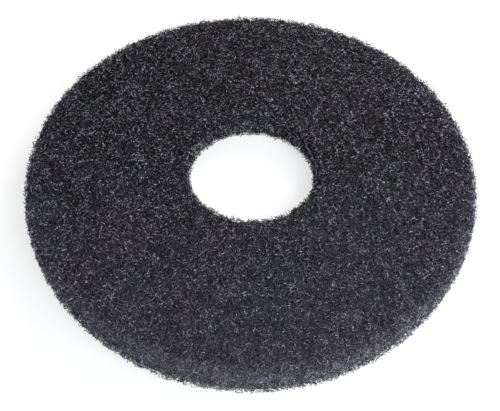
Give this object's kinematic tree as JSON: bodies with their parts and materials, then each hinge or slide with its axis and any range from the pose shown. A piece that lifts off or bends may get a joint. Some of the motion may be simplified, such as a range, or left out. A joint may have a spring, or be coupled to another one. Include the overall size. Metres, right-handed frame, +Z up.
{
  "type": "floor polishing pad",
  "caption": "Thick round black pad of lofty non-woven abrasive fibre web with a large round centre hole, held flat under a rotary floor machine's pad driver to strip or polish hard floors.",
  "frame": {"origin": "on the pad's axis, level with the floor that its lower face lies on", "axes": "+Z up along the pad's axis, from the lower face to the upper face; X and Y lie in the lower face"},
  "size_m": [0.3049, 0.3049, 0.017],
  "materials": {
    "fibre_web": "matt open web of crimped black fibres bonded with resin and grit, with small glints"
  },
  "bodies": {
    "root": {"fibre_pad": "fibre_web"}
  },
  "joints": []
}
